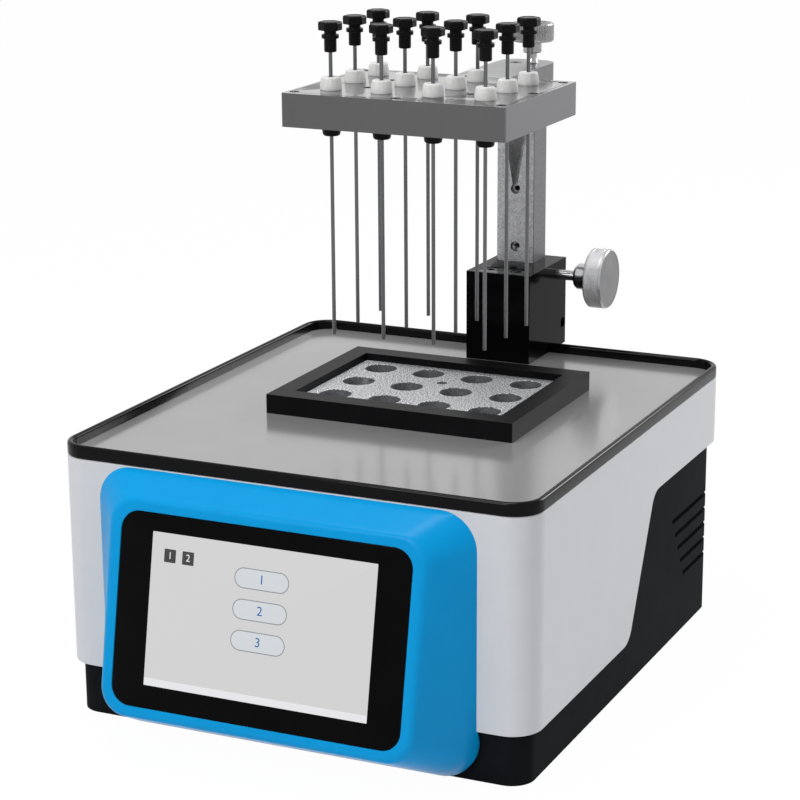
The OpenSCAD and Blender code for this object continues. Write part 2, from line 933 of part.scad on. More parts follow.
// axes of the two bolts from the manifold into the arm, starting inside it
module at_arm_bolts() {
    for (s = [-1, 1])
        translate([arm_x + s * 10, arm_y0 - head_wall, head_bottom + floor_t + 4])
            rotate([-90, 0, 0])
                children();
}

thumb_neck = 5.8;                           // from the arm to the thumbscrew's boss
thumb_boss = 6.5;                           // length of that boss
thumb_boss_d = 10.6;
thumb_screw_d = 5;

// knurled thumbscrew through the arm into the post
module arm_thumbscrew() {
    boss_z = arm_top + thumb_neck;
    wheel_z = boss_z + thumb_boss;
    color("#c3c5c7") placed()
        translate(thumb_at) {
            translate([0, 0, head_bottom - 12])
                cylinder(d = thumb_screw_d, h = 12 + head_h);
            translate([0, 0, arm_top])
                cylinder(d1 = 7.4, d2 = 5.4, h = 1.6);
            translate([0, 0, arm_top + 1.6])
                cylinder(d = 5.4, h = boss_z - arm_top - 1.6);
            translate([0, 0, boss_z])
                cylinder(d = thumb_boss_d, h = thumb_boss);
            translate([0, 0, wheel_z])
                difference() {
                    knurled(thumb_d, thumb_t, 48, 0.7);
                    translate([0, 0, thumb_t - 1.4])
                        cylinder(d1 = thumb_d - 7, d2 = thumb_d - 4, h = 1.5);
                }
        }
}

// ---- manifold ----

module head_2d(inset) {
    offset(delta = 1, chamfer = true)
        square([head_w - 2 * inset - 2, head_d - 2 * inset - 2], center = true);
}

// eight screws along the edge and four between the needles
module at_head_screws() {
    side_in = 4.8;
    end_in = 6.35;
    for (sx = [-1, 0, 1], sy = [-1, 0, 1])
        if (sx != 0 || sy != 0)
            translate([grid_x + sx * (head_w / 2 - side_in), grid_y + sy * (head_d / 2 - end_in), 0])
                children();
    at_pillars()
        children();
}

module at_pillars() {
    for (sx = [-1, 1], sy = [-1, 1])
        translate([grid_x + sx * pitch, grid_y + sy * pitch / 2, 0])
            children();
}

// body of the manifold with its gas space
module manifold_body() {
    color("#8e9093") placed() difference() {
        translate([head_x, head_y, head_bottom])
            linear_extrude(head_h)
                head_2d(0);
        difference() {
            translate([head_x, head_y, head_bottom + floor_t])
                linear_extrude(head_h)
                    square([head_w - 2 * head_wall, head_d - 2 * head_wall], center = true);
            at_pillars()
                translate([0, 0, head_bottom])
                    cylinder(d = 8, h = head_h);
        }
        // groove for the sealing cord
        translate([head_x, head_y, arm_top - 1])
            linear_extrude(2)
                difference() {
                    square([head_w - 2 * head_wall + 3, head_d - 2 * head_wall + 3], center = true);
                    square([head_w - 2 * head_wall + 1, head_d - 2 * head_wall + 1], center = true);
                }
        at_grid()
            translate([0, 0, head_bottom - 1])
                cylinder(d = 7, h = floor_t + 2);
        at_head_screws()
            translate([0, 0, head_bottom + 5])
                cylinder(d = 3, h = head_h);
        at_arm_bolts()
            cylinder(d = 4, h = 20);
        at_gas_inlet()
            cylinder(d = 8, h = 20);
    }
}

module manifold_cover() {
    color("#a0a2a5") placed() difference() {
        translate([head_x, head_y, arm_top])
            linear_extrude(cover_t)
                head_2d(0);
        at_grid()
            translate([0, 0, arm_top - 1])
                cylinder(d = 8, h = cover_t + 2);
        at_head_screws() {
            translate([0, 0, arm_top - 1])
                cylinder(d = 3, h = cover_t + 2);
            translate([0, 0, head_top - 2.8])
                cylinder(d = 5.4, h = 4);
        }
    }
}

// sealing cord between the body and its cover
module manifold_gasket() {
    w = head_w - 2 * head_wall;
    d = head_d - 2 * head_wall;
    color("#151515") placed()
        translate([head_x, head_y, arm_top - 1])
            linear_extrude(1)
                difference() {
                    square([w + 3, d + 3], center = true);
                    square([w + 1, d + 1], center = true);
                }
}

module manifold_screws() {
    color("#2e2f31") placed() at_head_screws()
        translate([0, 0, head_top - 0.3])
            socket_screw(5.4, 2.5, 3, 11, 2.5);
}

// axis of the gas inlet, starting at the gas space and pointing to the rear
module at_gas_inlet() {
    translate([head_x - 34, arm_y0 - head_wall, head_bottom + floor_t + 3])
        rotate([-90, 0, 0])
            children();
}

// hose barb screwed into the rear of the manifold
module gas_inlet() {
    color("#b08d4a") placed() at_gas_inlet()
        difference() {
            union() {
                cylinder(d = 8, h = head_wall);
                translate([0, 0, head_wall])
                    cylinder(d = 10, h = 4, $fn = 6);
                translate([0, 0, head_wall + 4])
                    cylinder(d = 5, h = 14);
                for (i = [0 : 2])
                    translate([0, 0, head_wall + 6 + i * 4])
                        cylinder(d1 = 6.4, d2 = 5, h = 3);
            }
            translate([0, 0, -1])
                cylinder(d = 3, h = head_wall + 20);
        }
}

// white collars: each one guides and seals a needle above the cover
module needle_collars() {
    color("#f0f0ee") placed() at_grid()
        translate([0, 0, head_top])
            rotate_extrude()
                polygon([[needle_d / 2 + run_gap, -cover_t], [4, -cover_t], [4, 0], [5.6, 0],
                    [5.65, 0.6], [5.45, collar_h * 0.45], [5.05, collar_h - 1.1],
                    [4.85, collar_h - 0.4], [4.4, collar_h], [needle_d / 2 + run_gap, collar_h]]);
}

// black gland nuts under the manifold
module gland_nuts() {
    color("#161617") placed() at_grid()
        translate([0, 0, head_bottom])
            rotate_extrude()
                polygon([[needle_d / 2 + run_gap, -gland_h], [3.7, -gland_h], [4.3, -gland_h + 0.35],
                    [4.65, -gland_h + 1], [4.95, -gland_h / 2], [5.35, -0.6], [5.35, 0], [3.5, 0],
                    [3.5, floor_t], [needle_d / 2 + run_gap, floor_t]]);
}

cap_bore = 6;                               // depth of the needle in its cap
grip_h = 4.6;                               // height of the cap's hexagonal grip
grip_af = 11.2;                             // grip across its flats

// one needle: a steel tube held in its cap
module needle_tube(i) {
    color("#9a9ca0") placed()
        translate(grid_at(i - 1) + [0, 0, tip_z])
            difference() {
                cylinder(d = needle_d, h = needle_len + cap_bore);
                translate([0, 0, -1])
                    cylinder(d = needle_bore, h = needle_len + cap_bore + 2);
            }
}

// black cap: chamfered foot, flange, neck and a hexagonal grip
module needle_cap(i) {
    color("#111112") placed()
        translate(grid_at(i - 1) + [0, 0, cap_bottom]) {
            neck = cap_h - grip_h;
            difference() {
                rotate_extrude()
                    polygon([[0, 0], [2.9, 0], [3.25, 0.5], [3.25, neck - 4.1], [4.5, neck - 4.1],
                        [4.5, neck - 2], [3.15, neck - 2], [3.15, neck], [0, neck]]);
                translate([0, 0, -1])
                    cylinder(d = needle_d, h = cap_bore + 1);
            }
            intersection() {
                translate([0, 0, neck])
                    cylinder(d = grip_af / cos(30), h = grip_h, $fn = 6);
                translate([0, 0, neck])
                    cylinder(d1 = grip_af / cos(30) + 2.5, d2 = grip_af - 0.6, h = grip_h);
            }
        }
}

module needle_tube_1() { needle_tube(1); }
module needle_tube_2() { needle_tube(2); }
module needle_tube_3() { needle_tube(3); }
module needle_tube_4() { needle_tube(4); }
module needle_tube_5() { needle_tube(5); }
module needle_tube_6() { needle_tube(6); }
module needle_tube_7() { needle_tube(7); }
module needle_tube_8() { needle_tube(8); }
module needle_tube_9() { needle_tube(9); }
module needle_tube_10() { needle_tube(10); }
module needle_tube_11() { needle_tube(11); }
module needle_tube_12() { needle_tube(12); }
module needle_cap_1() { needle_cap(1); }
module needle_cap_2() { needle_cap(2); }
module needle_cap_3() { needle_cap(3); }
module needle_cap_4() { needle_cap(4); }
module needle_cap_5() { needle_cap(5); }
module needle_cap_6() { needle_cap(6); }
module needle_cap_7() { needle_cap(7); }
module needle_cap_8() { needle_cap(8); }
module needle_cap_9() { needle_cap(9); }
module needle_cap_10() { needle_cap(10); }
module needle_cap_11() { needle_cap(11); }
module needle_cap_12() { needle_cap(12); }

// ---- drawing ----
upper_shell();
base_housing();
bottom_cover();
cover_screws();
rubber_feet();
steel_top_plate();
edge_trim();
display_bezel();
touch_glass();
lcd_panel();
block_frame();
frame_screws();
heating_block();
heater_plate();
cartridge_heaters();
insulation_tray();
temperature_probe();
control_board();
power_supply();
power_inlet();
inlet_pins();
power_rocker();
column_block();
column_screws();
clamp_knob();
post();
arm();
arm_screws();
arm_thumbscrew();
manifold_body();
manifold_cover();
manifold_gasket();
manifold_screws();
gas_inlet();
needle_collars();
gland_nuts();
needle_tube_1();
needle_tube_2();
needle_tube_3();
needle_tube_4();
needle_tube_5();
needle_tube_6();
needle_tube_7();
needle_tube_8();
needle_tube_9();
needle_tube_10();
needle_tube_11();
needle_tube_12();
needle_cap_1();
needle_cap_2();
needle_cap_3();
needle_cap_4();
needle_cap_5();
needle_cap_6();
needle_cap_7();
needle_cap_8();
needle_cap_9();
needle_cap_10();
needle_cap_11();
needle_cap_12();
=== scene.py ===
import json
import math
import bmesh
import bpy
import numpy as np
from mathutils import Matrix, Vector


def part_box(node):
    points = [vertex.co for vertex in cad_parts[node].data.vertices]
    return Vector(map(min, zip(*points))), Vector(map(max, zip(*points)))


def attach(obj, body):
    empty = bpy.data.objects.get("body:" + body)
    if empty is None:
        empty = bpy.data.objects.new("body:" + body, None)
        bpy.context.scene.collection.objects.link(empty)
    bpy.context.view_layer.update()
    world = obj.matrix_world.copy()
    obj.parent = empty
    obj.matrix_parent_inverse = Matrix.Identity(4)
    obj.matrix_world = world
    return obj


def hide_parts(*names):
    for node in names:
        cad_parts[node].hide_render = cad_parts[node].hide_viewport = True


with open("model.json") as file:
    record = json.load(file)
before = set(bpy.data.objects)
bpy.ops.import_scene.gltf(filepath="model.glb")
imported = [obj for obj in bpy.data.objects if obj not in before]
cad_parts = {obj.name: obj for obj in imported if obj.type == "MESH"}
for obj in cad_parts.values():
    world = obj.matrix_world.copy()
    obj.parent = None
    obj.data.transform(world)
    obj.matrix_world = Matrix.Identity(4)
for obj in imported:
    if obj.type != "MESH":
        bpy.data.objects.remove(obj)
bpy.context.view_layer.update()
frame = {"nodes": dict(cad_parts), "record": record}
mm = 0.001
# places below are in mm from the middle of the housing, and heights from the top of the steel plate
housingMiddle = (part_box("upper_shell")[0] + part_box("upper_shell")[1]) / 2
middleY = housingMiddle.y / mm
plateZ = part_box("steel_top_plate")[1].z / mm

camera = {
    "place": (523.9, -1142.7, 355.5),
    "aim": (20.2, 9.6, -16.8),
    "lens": 109.67,                            # mm, on a 36 mm sensor
    "shift": (-0.064, 0.0479),
}


def fromPlate(x, y, z):
    # moves a point by the middle of the plate and turns millimetres into metres
    return Vector((x, y + middleY, z + plateZ)) * mm


def addCamera(c):
    # the camera looks from its place to its aim, upright
    data = bpy.data.cameras.new("camera")
    data.lens, data.sensor_width = c["lens"], 36
    data.shift_x, data.shift_y = c["shift"]
    data.clip_start, data.clip_end = 0.05, 30
    eye = bpy.data.objects.new("camera", data)
    bpy.context.scene.collection.objects.link(eye)
    place, aim = fromPlate(*c["place"]), fromPlate(*c["aim"])
    eye.location = place
    eye.rotation_euler = (aim - place).to_track_quat("-Z", "Y").to_euler()
    bpy.context.scene.camera = eye


addCamera(camera)
print("camera placed")


def linear(rgb):
    # 0 to 255 as a paint chart gives it, turned into Blender's linear values
    v = np.array(rgb, float) / 255
    out = np.where(v <= 0.04045, v / 12.92, ((v + 0.055) / 1.055) ** 2.4)
    return (*[float(x) for x in out], 1.0)


def finish(name, colour, second=None, metal=0.0, rough=0.4, roughSpread=0.06, grain=900, stretch=(1, 1, 1),
           bump=0.05, depth=0.0001, patch=60, patchSpread=0.35, fineShare=0.4, wearAndEdgeShade=None, wearAndEdgeShadeAmount=0.0,
           coat=0.0, coatRough=0.05, specular=0.5, subsurface=0.0, glow=None, paintedSideLight=None, paintedTopLight=None,
           topRough=None, paintedShadeBelow=None):
    # a fine noise moves roughness and relief, a broad one and the fine one move the colour, edges take wear on most
    # finishes and painted shade on the turned knobs; faces that look sideways and faces that look up can take their
    # own colour of painted light and shade, and all below a given height takes painted shade
    m = bpy.data.materials.new(name)
    m.use_nodes = True
    tree = m.node_tree
    add, join = tree.nodes.new, tree.links.new
    shader = tree.nodes["Principled BSDF"]
    for socket, value in (("Metallic", metal), ("Specular IOR Level", specular), ("Coat Weight", coat),
                          ("Coat Roughness", coatRough), ("Subsurface Weight", subsurface)):
        shader.inputs[socket].default_value = value
    shader.inputs["Subsurface Radius"].default_value = (0.003, 0.003, 0.003)
    if glow:
        shader.inputs["Emission Color"].default_value = linear(glow)
        shader.inputs["Emission Strength"].default_value = 1.0
    place = add("ShaderNodeTexCoord")
    run = place.outputs["Object"]
    if stretch != (1, 1, 1):
        turn = add("ShaderNodeMapping")
        turn.inputs["Scale"].default_value = stretch
        join(run, turn.inputs["Vector"])
        run = turn.outputs["Vector"]

    def noise(scale, detail):
        n = add("ShaderNodeTexNoise")
        n.inputs["Scale"].default_value = scale
        n.inputs["Detail"].default_value = detail
        join(run, n.inputs["Vector"])
        return n.outputs["Fac"]

    def spread(value, low, high, fromLow=0.0, fromHigh=1.0):
        r = add("ShaderNodeMapRange")
        for socket, v in (("From Min", fromLow), ("From Max", fromHigh), ("To Min", low), ("To Max", high)):
            r.inputs[socket].default_value = v
        join(value, r.inputs["Value"])
        return r.outputs["Result"]

    def sum2(a, b, operation="ADD", clamp=False):
        s = add("ShaderNodeMath")
        s.operation, s.use_clamp = operation, clamp
        for i, v in enumerate((a, b)):
            if isinstance(v, (int, float)):
                s.inputs[i].default_value = v
            else:
                join(v, s.inputs[i])
        return s.outputs["Value"]

    def mixed(factor, a, b):
        x = add("ShaderNodeMix")
        x.data_type = "RGBA"
        join(factor, x.inputs["Factor"])
        for key, v in (("A", a), ("B", b)):
            if isinstance(v, (tuple, list)):
                x.inputs[key].default_value = linear(v)
            else:
                join(v, x.inputs[key])
        return x.outputs["Result"]

    fine, broad = noise(grain, 6), noise(patch, 3)
    both = sum2(sum2(fine, fineShare, "MULTIPLY"), sum2(broad, 1 - fineShare, "MULTIPLY"))
    shade = spread(both, 0, 1, 0.5 - patchSpread / 2, 0.5 + patchSpread / 2)
    second = second or tuple(min(255, c * 1.06 + 2) for c in colour)
    tint = mixed(shade, colour, second)
    rougher = spread(fine, max(0.02, rough - roughSpread), rough + roughSpread)
    if paintedSideLight or paintedTopLight:
        normal = add("ShaderNodeSeparateXYZ")
        join(place.outputs["Normal"], normal.inputs["Vector"])
    # faces that look sideways take a colour of painted light and shade
    if paintedSideLight:
        sideLightMask = sum2(sum2(normal.outputs["X"], 0, "ABSOLUTE"), 0.7, "GREATER_THAN")
        tint = mixed(sideLightMask, tint, mixed(shade, paintedSideLight, tuple(min(255, c * second[0] / colour[0]) for c in paintedSideLight)))
    # faces that look up take a colour of painted light and shade
    if paintedTopLight:
        topLightMask = sum2(normal.outputs["Z"], 0.8, "GREATER_THAN")
        tint = mixed(topLightMask, tint, mixed(shade, paintedTopLight, tuple(min(255, c * second[0] / colour[0]) for c in paintedTopLight)))
        if topRough is not None:
            # roughness falls by the difference where a face looks up
            rougher = sum2(rougher, sum2(topLightMask, topRough - rough, "MULTIPLY"), "ADD", True)
    # all below the given height takes a darker colour: painted shade
    if paintedShadeBelow:
        height = add("ShaderNodeSeparateXYZ")
        join(place.outputs["Object"], height.inputs["Vector"])
        shadeBelowMask = sum2(height.outputs["Z"], paintedShadeBelow[0], "LESS_THAN")
        tint = mixed(shadeBelowMask, tint, mixed(shade, paintedShadeBelow[1], tuple(min(255, c * 1.25) for c in paintedShadeBelow[1])))
    if wearAndEdgeShade:
        # an edge is where the rounded normal and the true one part; its colour is wear, and on the turned knobs
        # painted shade along edges and in the knurl's grooves
        shape = add("ShaderNodeNewGeometry")
        rounded = add("ShaderNodeBevel")
        rounded.samples = 4
        rounded.inputs["Radius"].default_value = 0.0004
        along = add("ShaderNodeVectorMath")
        along.operation = "DOT_PRODUCT"
        join(rounded.outputs["Normal"], along.inputs[0])
        join(shape.outputs["Normal"], along.inputs[1])
        tint = mixed(spread(along.outputs["Value"], wearAndEdgeShadeAmount, 0, 0.85, 0.985), tint, wearAndEdgeShade)
    join(tint, shader.inputs["Base Color"])
    join(rougher, shader.inputs["Roughness"])
    relief = add("ShaderNodeBump")
    relief.inputs["Strength"].default_value = bump
    relief.inputs["Distance"].default_value = depth
    join(fine, relief.inputs["Height"])
    join(relief.outputs["Normal"], shader.inputs["Normal"])
    return m


def lit(name, colour, second, glow):
    # a finish of the lit picture: its own colour is dark, and the glow is what shows
    return finish(name, colour, second, rough=0.3, grain=5000, bump=0.0, specular=0.1, glow=glow)


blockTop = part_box("heating_block")[1].z
finishes = {
    "shellPaint": finish("shell paint", (191, 193, 197), (194, 196, 200), rough=0.42, grain=2600, bump=0.05,
                         depth=0.0001, coat=0.1, coatRough=0.25, specular=0.3),
    "baseBlack": finish("base black", (16, 17, 19), (22, 24, 27), rough=0.55, grain=2200, bump=0.18, depth=0.00015,
                        specular=0.012),
    "plateSteel": finish("ground steel", (146, 146, 146), (153, 153, 153), metal=0.5, rough=0.16, roughSpread=0.05,
                         grain=1300, bump=0.06, depth=0.00008, patch=30, patchSpread=0.5, specular=0.1),
    "trimBlack": finish("gloss bead", (4, 4, 5), (7, 7, 8), rough=0.09, roughSpread=0.02, grain=1200, bump=0.02,
                        specular=0.1),
    "bezelBlue": finish("blue moulding", (6, 136, 196), (7, 140, 200), rough=0.3, roughSpread=0.03, grain=3000,
                        bump=0.05, depth=0.0001, specular=0.07),
    "glassBlack": finish("black glass", (3, 3, 4), (5, 5, 6), rough=0.07, roughSpread=0.02, grain=500, bump=0.01,
                         specular=0.04),
    "frameBlack": finish("black anodised", (11, 11, 12), (19, 19, 21), rough=0.34, roughSpread=0.1, grain=1900,
                         bump=0.15, depth=0.0001, specular=0.035, wearAndEdgeShade=(60, 60, 62), wearAndEdgeShadeAmount=0.2),
    "columnBlack": finish("gloss column", (8, 8, 9), (11, 11, 12), rough=0.1, roughSpread=0.03, grain=1600,
                          bump=0.02, specular=0.02, wearAndEdgeShade=(60, 60, 62), wearAndEdgeShadeAmount=0.2),
    # all under the top face is darker: painted shade in the wells
    "blockMetal": finish("blasted aluminium", (60, 61, 63), (240, 241, 243), metal=0.5, rough=0.5,
                         roughSpread=0.15, grain=1500, bump=0.7, depth=0.0004, patch=900, patchSpread=0.09,
                         fineShare=0.7, paintedShadeBelow=(blockTop - 0.0004, (106, 107, 109))),
    # the faces that look along x are darker than the front: painted shade
    "postMetal": finish("blasted post", (146, 146, 148), (206, 206, 208), metal=0.8, rough=0.42, roughSpread=0.1,
                        grain=1200, bump=0.3, depth=0.0002, patch=700, patchSpread=0.3, fineShare=0.6,
                        paintedSideLight=(86, 86, 88), wearAndEdgeShade=(215, 215, 215), wearAndEdgeShadeAmount=0.4),
    # the top is lighter than the rest: painted light
    "armMetal": finish("milled arm", (96, 96, 98), (112, 112, 114), metal=0.9, rough=0.35, roughSpread=0.08,
                       grain=900, bump=0.12, depth=0.0001, paintedSideLight=(96, 96, 98), paintedTopLight=(124, 124, 126),
                       topRough=0.3, wearAndEdgeShade=(200, 200, 200), wearAndEdgeShadeAmount=0.3),
    # the faces that look along x and the top are lighter than the front: painted light
    "headMetal": finish("brushed manifold", (91, 91, 92), (94, 94, 95), metal=0.9, rough=0.38, roughSpread=0.05,
                        grain=1400, bump=0.06, depth=0.0001, paintedSideLight=(110, 110, 112), paintedTopLight=(140, 140, 141),
                        topRough=0.1),
    "milledMetal": finish("milled aluminium", (150, 151, 153), (170, 171, 173), metal=0.9, rough=0.42,
                          roughSpread=0.08, grain=700, bump=0.1, depth=0.0001, wearAndEdgeShade=(220, 220, 220),
                          wearAndEdgeShadeAmount=0.5),
    # the end faces are darker than the rim: painted shade; the dark edge colour is painted shade along the edges and
    # in the knurl's grooves
    "knobMetal": finish("turned aluminium", (172, 172, 174), (206, 206, 207), metal=1.0, rough=0.25, grain=900,
                        bump=0.2, depth=0.0001, paintedSideLight=(102, 102, 103), wearAndEdgeShade=(60, 60, 61), wearAndEdgeShadeAmount=0.35),
    # the dark edge colour is painted shade along the edges and in the knurl's grooves
    "thumbMetal": finish("turned thumbscrew", (132, 132, 133), (178, 178, 179), metal=1.0, rough=0.26, grain=900,
                         bump=0.2, depth=0.0001, wearAndEdgeShade=(52, 52, 53), wearAndEdgeShadeAmount=0.6),
    "whitePlastic": finish("white ptfe", (196, 196, 195), (212, 212, 211), rough=0.42, grain=900, bump=0.12,
                           depth=0.0002, subsurface=0.1, specular=0.2, patch=300),
    "capBlack": finish("moulded black", (9, 9, 10), (14, 14, 15), rough=0.3, grain=1800, bump=0.12, depth=0.0001,
                       specular=0.07, wearAndEdgeShade=(46, 46, 48), wearAndEdgeShadeAmount=0.3),
    "needleSteel": finish("drawn tube", (88, 89, 91), (108, 109, 111), metal=1.0, rough=0.26, grain=600,
                          stretch=(6, 6, 0.2), bump=0.08, depth=0.0001),
    "screwDark": finish("dark screws", (22, 22, 24), (34, 34, 36), metal=0.6, rough=0.35, grain=1500, bump=0.1,
                        specular=0.2, wearAndEdgeShade=(110, 110, 110), wearAndEdgeShadeAmount=0.4),
    "screwSteel": finish("plated screws", (150, 151, 153), (175, 176, 178), metal=1.0, rough=0.3, grain=1500,
                         bump=0.1),
    "rubber": finish("rubber", (20, 20, 20), (28, 28, 28), rough=0.75, grain=2600, bump=0.3, depth=0.0002,
                     specular=0.2),
    "boardGreen": finish("lacquered board", (22, 88, 48), (28, 104, 58), rough=0.35, grain=700, bump=0.2),
    "fibre": finish("pressed fibre", (205, 198, 176), (222, 216, 198), rough=0.9, grain=1200, bump=0.6, depth=0.0004),
    "brass": finish("turned brass", (196, 158, 86), (214, 178, 104), metal=1.0, rough=0.28, grain=800, bump=0.08,
                    wearAndEdgeShade=(240, 216, 158), wearAndEdgeShadeAmount=0.4),
    "inletBlack": finish("inlet plastic", (16, 16, 17), (24, 24, 25), rough=0.45, grain=2000, bump=0.2,
                         specular=0.2),
    "picture": lit("lit picture", (40, 40, 40), (42, 42, 42), (206, 206, 206)),
    "pictureStrip": lit("lit strip", (44, 44, 44), (46, 46, 46), (226, 226, 228)),
    "pictureDark": lit("dark key", (40, 40, 40), (44, 44, 44), (50, 50, 51)),
    "keyRim": lit("key outline", (60, 62, 64), (62, 64, 66), (132, 135, 138)),
    "keyFace": lit("key face", (50, 52, 54), (54, 56, 58), (204, 208, 212)),
    "keyFigure": lit("key figure", (6, 40, 80), (8, 44, 84), (14, 92, 150)),
    "keyLight": lit("light figure", (60, 60, 60), (64, 64, 64), (225, 225, 225)),
}
print("finishes made")


def placePiece(name, mesh, material, body, smooth=45):
    # a mesh becomes a piece at the origin that rides on its body
    piece = bpy.data.objects.new(name, mesh)
    bpy.context.scene.collection.objects.link(piece)
    mesh.materials.clear()
    mesh.materials.append(material)
    mesh.polygons.foreach_set("use_smooth", [True] * len(mesh.polygons))
    mesh.set_sharp_from_angle(angle=math.radians(smooth))
    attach(piece, body)
    return piece


def addPiece(name, points, faces, material, body, smooth=45):
    # arrays of points in metres and of faces become a piece
    mesh = bpy.data.meshes.new(name)
    mesh.from_pydata(np.asarray(points).tolist(), [], [list(map(int, f)) for f in faces])
    mesh.validate()
    return placePiece(name, mesh, material, body, smooth)


def gridFaces(rows, cols, closeRows=False):
    # four-sided faces between neighbouring rows and columns of a grid of points; each row closes on itself
    r = np.arange(rows if closeRows else rows - 1)
    a, b = np.meshgrid(r, np.arange(cols), indexing="ij")
    a2, b2 = (a + 1) % rows, (b + 1) % cols
    return np.stack([a * cols + b, a * cols + b2, a2 * cols + b2, a2 * cols + b], -1).reshape(-1, 4)


def roundedOutline(w, h, r, perCorner=12, perSide=8):
    # points round a rounded rectangle: each corner is an arc about its own centre, each side is shared out evenly
    corners = [(1, 1, 0), (-1, 1, 90), (-1, -1, 180), (1, -1, 270)]
    arcs = []
    for sx, sy, start in corners:
        a = np.radians(np.linspace(start, start + 90, perCorner))
        arcs.append(np.stack([sx * (w / 2 - r) + r * np.cos(a), sy * (h / 2 - r) + r * np.sin(a)], -1))
    out = []
    for i in range(4):
        t = np.linspace(0, 1, perSide + 2)[1:-1, None]
        out += [arcs[i], arcs[i][-1] * (1 - t) + arcs[(i + 1) % 4][0] * t]
    return np.concatenate(out)


def mergedCopy(name, node):
    # a copy of a CAD node's mesh with its loose triangles joined and flat neighbours made one face
    mesh = frame["nodes"][node].data.copy()
    mesh.name = name
    b = bmesh.new()
    b.from_mesh(mesh)
    bmesh.ops.remove_doubles(b, verts=b.verts, dist=2e-6)
    bmesh.ops.dissolve_limit(b, angle_limit=math.radians(0.6), verts=b.verts, edges=b.edges)
    b.to_mesh(mesh)
    b.free()
    return mesh


bodyOf = {n: body for body, nodes in frame["record"]["behaviour"]["bodies"].items() for n in nodes}


def dress(node, material, bevel):
    # stands a CAD node's shape in for itself, with edges over 32 degrees rounded and curves under 35 smooth
    name = node + "_finished"
    piece = placePiece(name, mergedCopy(name, node), material, bodyOf[node], 35)
    if bevel:
        edge = piece.modifiers.new("edges", "BEVEL")
        edge.width, edge.segments = bevel * mm, 2
        edge.limit_method, edge.angle_limit = "ANGLE", math.radians(32)
        edge.harden_normals = True
        edge.use_clamp_overlap = True
    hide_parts(node)


# node, its finish, and the width of its rounded edges in mm
housing = [
    ("upper_shell", "shellPaint", 0.9), ("base_housing", "baseBlack", 0.4), ("bottom_cover", "baseBlack", 0.2),
    ("steel_top_plate", "plateSteel", 0.0), ("rubber_feet", "rubber", 0.8), ("cover_screws", "screwSteel", 0.1),
    ("block_frame", "frameBlack", 0.5), ("frame_screws", "screwSteel", 0.1), ("heating_block", "blockMetal", 0.3),
    ("heater_plate", "milledMetal", 0.3), ("cartridge_heaters", "screwSteel", 0.2),
    ("insulation_tray", "fibre", 0.5), ("temperature_probe", "screwSteel", 0.1),
    ("control_board", "boardGreen", 0.2), ("power_supply", "milledMetal", 0.4), ("lcd_panel", "inletBlack", 0.2),
    ("power_inlet", "inletBlack", 0.3), ("inlet_pins", "brass", 0.2), ("power_rocker", "inletBlack", 0.3),
    ("column_block", "columnBlack", 0.35), ("column_screws", "screwDark", 0.2),
]
for node, look, bevel in housing:
    dress(node, finishes[look], bevel)
print("housing dressed")

trim = {
    "width": 3.3, "height": 5.4, "lip": 0.7, "lipDrop": 1.5, "tuck": 0.7,     # mm, in section
    "cornerRadius": 16.0, "perCorner": 22,
}


def makeTrim(t):
    # a section is carried round the housing's outline; x goes inwards from the outside, y up from the plate
    low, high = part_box("edge_trim")
    halfW, halfD = (high.x - low.x) / 2 / mm, (high.y - low.y) / 2 / mm
    r, w, h = t["cornerRadius"], t["width"], t["height"]
    gap = [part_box("column_block")[0].x / mm - 0.3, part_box("column_block")[1].x / mm + 0.3]
    half = w / 2
    a = np.radians(np.linspace(0, 180, 15))
    top = np.stack([half + half * np.cos(a), h - half + half * np.sin(a)], -1)
    b = np.radians(np.linspace(180, 262, 7))
    foot = np.stack([t["tuck"] + t["tuck"] * np.cos(b), -t["lipDrop"] + t["tuck"] + t["tuck"] * np.sin(b)], -1)
    section = np.concatenate([[(w, 0.0)], top, [(0, 1.5)], foot, [(t["lip"], -t["lipDrop"]), (t["lip"], 0.0)]])
    # the path starts at the column's left side, runs round the front and ends at its right side
    path, out = [(gap[0], halfD)], [(0.0, 1.0)]
    for sx, sy, start in ((-1, 1, 90), (-1, -1, 180), (1, -1, 270), (1, 1, 0)):
        for angle in np.radians(np.linspace(start, start + 90, t["perCorner"])):
            out.append((math.cos(angle), math.sin(angle)))
            path.append((sx * (halfW - r) + r * math.cos(angle), sy * (halfD - r) + r * math.sin(angle)))
    path.append((gap[1], halfD))
    out.append((0.0, 1.0))
    path, out = np.array(path), np.array(out)
    flat = path[:, None, :] - out[:, None, :] * section[None, :, :1]
    z = np.broadcast_to(section[None, :, 1:], flat.shape[:2] + (1,))
    pts = np.concatenate([flat, z], -1).reshape(-1, 3)
    n = len(section)
    faces = gridFaces(len(path), n).tolist()
    faces += [list(range(n))[::-1], list(range((len(path) - 1) * n, len(path) * n))]
    # the lip alone goes on behind the column
    x0, x1, y0, y1, z0, z1 = gap[0], gap[1], halfD - t["lip"], halfD, -t["lipDrop"], 0.0
    box = np.array([(x, y, z) for x in (x0, x1) for y in (y0, y1) for z in (z0, z1)])
    k = len(pts)
    faces += [[k + i for i in f] for f in ((0, 1, 3, 2), (4, 6, 7, 5), (0, 4, 5, 1), (2, 3, 7, 6), (0, 2, 6, 4),
                                           (1, 5, 7, 3))]
    pts = np.concatenate([pts, box])
    pts[:, 1] += middleY
    pts[:, 2] += plateZ
    bead = addPiece("edge_trim_bead", pts * mm, faces, finishes["trimBlack"], "housing", 40)
    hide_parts("edge_trim")


makeTrim(trim)
print("bead made")

